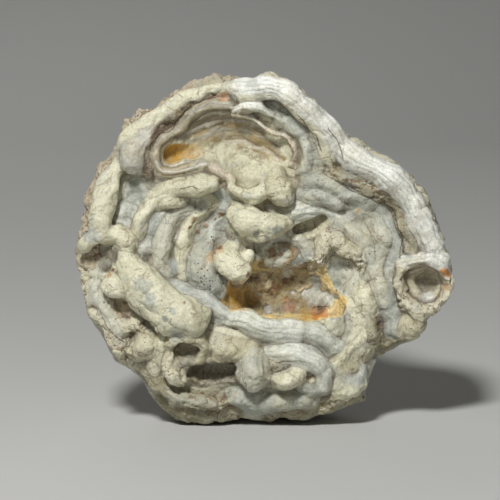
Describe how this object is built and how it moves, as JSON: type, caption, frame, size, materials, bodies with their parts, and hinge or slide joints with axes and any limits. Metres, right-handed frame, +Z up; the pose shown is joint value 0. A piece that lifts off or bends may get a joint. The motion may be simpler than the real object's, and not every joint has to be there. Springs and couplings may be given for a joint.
{
  "type": "chalcedony rose",
  "caption": "Upright, slightly dished natural chalcedony rose of rolled and nested bands, with a banded hollow, a stained cavity and a small flat foot.",
  "frame": {"origin": "centre of the bounding box on the plane of the flat foot that the stone rests on", "axes": "+X along the stone's width, to the right for someone who looks at the folded face; +Y from the folded face to the back; +Z up"},
  "size_m": [0.06, 0.0276, 0.0556],
  "materials": {
    "chalcedony": "chalky cream with translucent blue-grey patches, brown crack lines and amber stains"
  },
  "bodies": {
    "root": {"chalcedony_rose": "chalcedony"}
  },
  "joints": []
}
